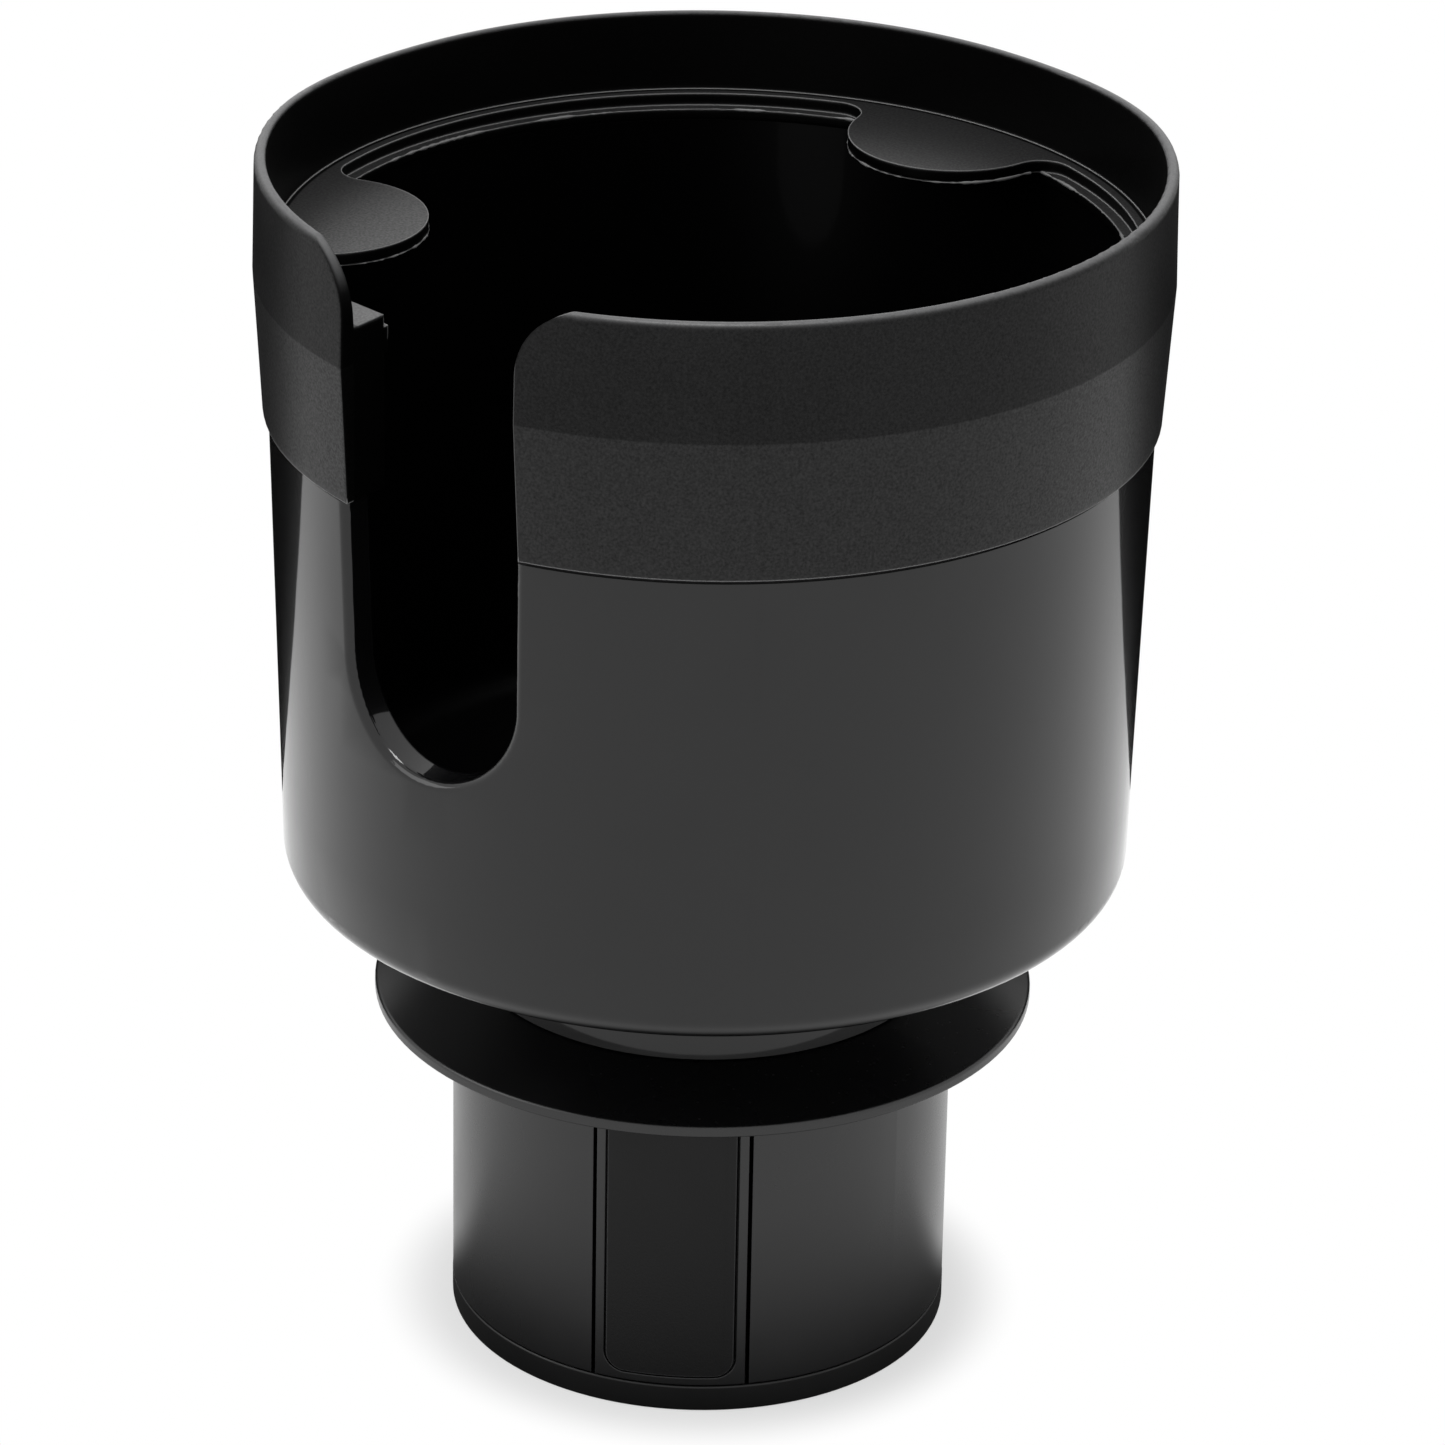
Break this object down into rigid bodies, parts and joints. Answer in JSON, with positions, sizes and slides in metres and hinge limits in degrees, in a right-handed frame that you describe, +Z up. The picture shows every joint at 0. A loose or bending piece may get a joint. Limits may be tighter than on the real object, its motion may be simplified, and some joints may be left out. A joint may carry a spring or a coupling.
{
  "type": "cup holder expander",
  "caption": "Large cup with a handle slot and a rubber rim sleeve, on a neck that turns over a round base with expanding jaws.",
  "frame": {"origin": "centre of the base's underside, on the surface that the object stands on", "axes": "+Z up along the axis of base and bowl, the handle slot faces -Y"},
  "size_m": [0.1188, 0.1175, 0.1665],
  "materials": {
    "bowl_plastic": "satin black moulded plastic",
    "sleeve_rubber": "matte soft black rubber",
    "base_plastic": "satin black moulded plastic",
    "jaw_plastic": "satin black moulded plastic",
    "pad_rubber": "matte black rubber",
    "glide_plastic": "natural low-friction plastic",
    "steel": "zinc-plated steel"
  },
  "bodies": {
    "base": {"base_housing": "base_plastic", "bottom_plate": "base_plastic", "plate_screws": "steel", "glide_ring": "glide_plastic"},
    "bowl_unit": {"bowl": "bowl_plastic", "rim_sleeve": "sleeve_rubber", "turning_collar": "bowl_plastic", "collar_screws": "steel", "cam_disc": "glide_plastic", "hub_washer": "steel", "hub_screw": "steel"},
    "jaw_unit_1": {"jaw_1": "jaw_plastic", "jaw_pad_1": "pad_rubber", "cam_pin_1": "steel"},
    "jaw_unit_2": {"jaw_2": "jaw_plastic", "jaw_pad_2": "pad_rubber", "cam_pin_2": "steel"},
    "jaw_unit_3": {"jaw_3": "jaw_plastic", "jaw_pad_3": "pad_rubber", "cam_pin_3": "steel"}
  },
  "joints": [
    {"name": "bowl_turn", "type": "hinge", "parent": "base", "child": "bowl_unit", "pos_m": [0, 0, 0.055], "axis": [0, 0, -1], "range_deg": [0, 140]},
    {"name": "jaw_slide_1", "type": "slide", "parent": "base", "child": "jaw_unit_1", "axis": [0.5402, -0.8415, 0], "range_m": [0, 0.008]},
    {"name": "jaw_slide_2", "type": "slide", "parent": "base", "child": "jaw_unit_2", "axis": [0.4586, 0.8886, 0], "range_m": [0, 0.008]},
    {"name": "jaw_slide_3", "type": "slide", "parent": "base", "child": "jaw_unit_3", "axis": [-0.9989, -0.0471, 0], "range_m": [0, 0.008]}
  ],
  "couplings": [
    {"joint": "jaw_slide_1", "follows": "bowl_turn", "m_per_rad": 0.003274},
    {"joint": "jaw_slide_2", "follows": "bowl_turn", "m_per_rad": 0.003274},
    {"joint": "jaw_slide_3", "follows": "bowl_turn", "m_per_rad": 0.003274}
  ]
}
